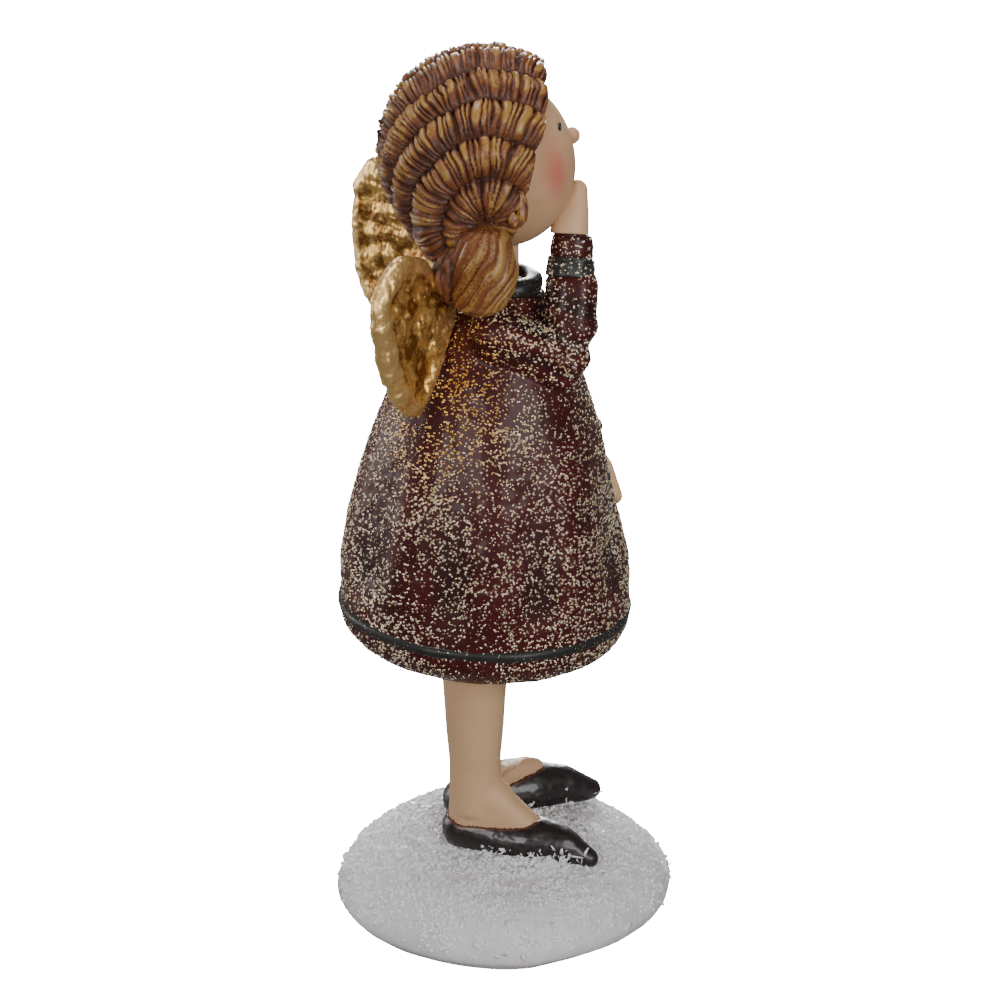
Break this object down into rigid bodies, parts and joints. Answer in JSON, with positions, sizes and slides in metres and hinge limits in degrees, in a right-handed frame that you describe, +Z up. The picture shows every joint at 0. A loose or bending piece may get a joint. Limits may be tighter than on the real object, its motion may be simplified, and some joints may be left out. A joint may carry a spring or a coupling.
{
  "type": "resin angel figurine",
  "caption": "Cast resin angel girl in a glittered bell dress, hand to her mouth, with gold wings, standing on a snow-covered pebble base.",
  "frame": {"origin": "centre of the base's flat underside", "axes": "+Z up, the figure faces -Y and its right hand is at -X"},
  "size_m": [0.0526, 0.0526, 0.1411],
  "materials": {
    "snow_resin": "cast resin painted white, satin at the sides",
    "snow": "rough white snow paste with clear crystal grains",
    "skin": "satin painted skin",
    "steel": "plain drawn wire",
    "shoe": "gloss near-black brown paint",
    "dress": "gloss deep red paint under scattered pale gold glitter",
    "ribbon": "gloss charcoal paint",
    "face": "satin painted skin with soft red cheeks",
    "eye": "gloss black paint",
    "hair": "ochre dry-brushed over red-brown wash",
    "gold": "gold leaf, crinkled"
  },
  "bodies": {
    "root": {"base_mound": "snow_resin", "snow_crust": "snow", "right_leg": "skin", "left_leg": "skin", "right_leg_rod": "steel", "left_leg_rod": "steel", "right_shoe": "shoe", "left_shoe": "shoe", "dress": "dress", "hem_ribbon": "ribbon", "collar": "ribbon", "neck": "skin", "head_peg": "steel", "head": "face", "nose": "face", "right_eye": "eye", "left_eye": "eye", "hair_cap": "hair", "right_bun": "hair", "left_bun": "hair", "right_curl": "hair", "left_curl": "hair", "right_wing": "gold", "left_wing": "gold", "right_wing_peg": "steel", "left_wing_peg": "steel", "right_sleeve": "dress", "left_sleeve": "dress", "right_cuff_band": "ribbon", "left_cuff_band": "ribbon", "right_hand": "skin", "left_hand": "skin"}
  },
  "joints": []
}
